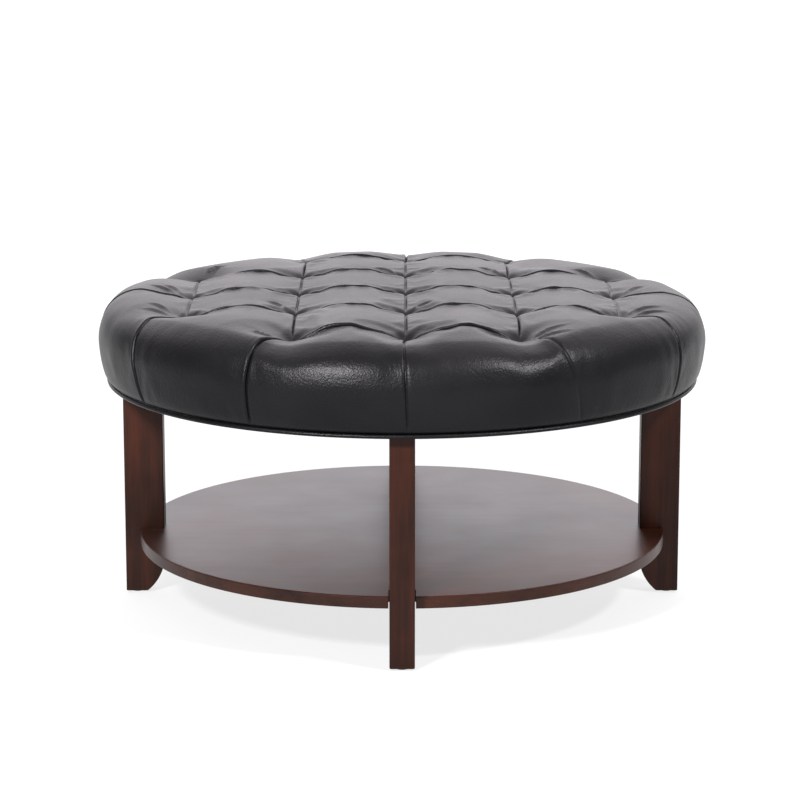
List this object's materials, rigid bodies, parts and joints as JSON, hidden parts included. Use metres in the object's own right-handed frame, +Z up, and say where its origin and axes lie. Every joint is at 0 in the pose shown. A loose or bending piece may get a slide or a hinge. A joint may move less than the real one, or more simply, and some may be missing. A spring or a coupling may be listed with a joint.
{
  "type": "ottoman",
  "caption": "Round square-tufted leather ottoman with a pleated side and corded foot, on plank legs with a round lower shelf.",
  "frame": {"origin": "on the floor, under the middle of the seat", "axes": "+Z up; one leg stands on each of +X (right), +Y (back), -X (left) and -Y (front, nearest the camera)"},
  "size_m": [0.914, 0.914, 0.4856],
  "materials": {
    "dark_wood": "satin lacquer over dark reddish stain",
    "black_leather": "semi-gloss, crinkled grain",
    "plywood": "bare",
    "foam": "open-cell foam",
    "dust_cloth": "non-woven, matte",
    "twine": "waxed",
    "hard_plastic": "matte",
    "glide_plastic": "matte",
    "zinc_steel": "zinc plated"
  },
  "bodies": {
    "root": {"bracket_screws": "zinc_steel", "cover_staples": "zinc_steel", "dust_cover": "dust_cloth", "dust_cover_staples": "zinc_steel", "foam_core": "foam", "glide_back": "glide_plastic", "glide_front": "glide_plastic", "glide_left": "glide_plastic", "glide_right": "glide_plastic", "leg_back": "dark_wood", "leg_front": "dark_wood", "leg_left": "dark_wood", "leg_right": "dark_wood", "rail_front_back": "dark_wood", "rail_left_right": "dark_wood", "rail_screw": "zinc_steel", "seat_bolts": "zinc_steel", "seat_deck": "plywood", "seat_nuts": "zinc_steel", "shelf": "dark_wood", "shelf_bracket_back": "zinc_steel", "shelf_bracket_front": "zinc_steel", "shelf_bracket_left": "zinc_steel", "shelf_bracket_right": "zinc_steel", "tuft_discs": "hard_plastic", "tuft_twines": "twine", "tufted_cover": "black_leather", "twine_toggles": "hard_plastic", "welt_cord": "black_leather"}
  },
  "joints": []
}
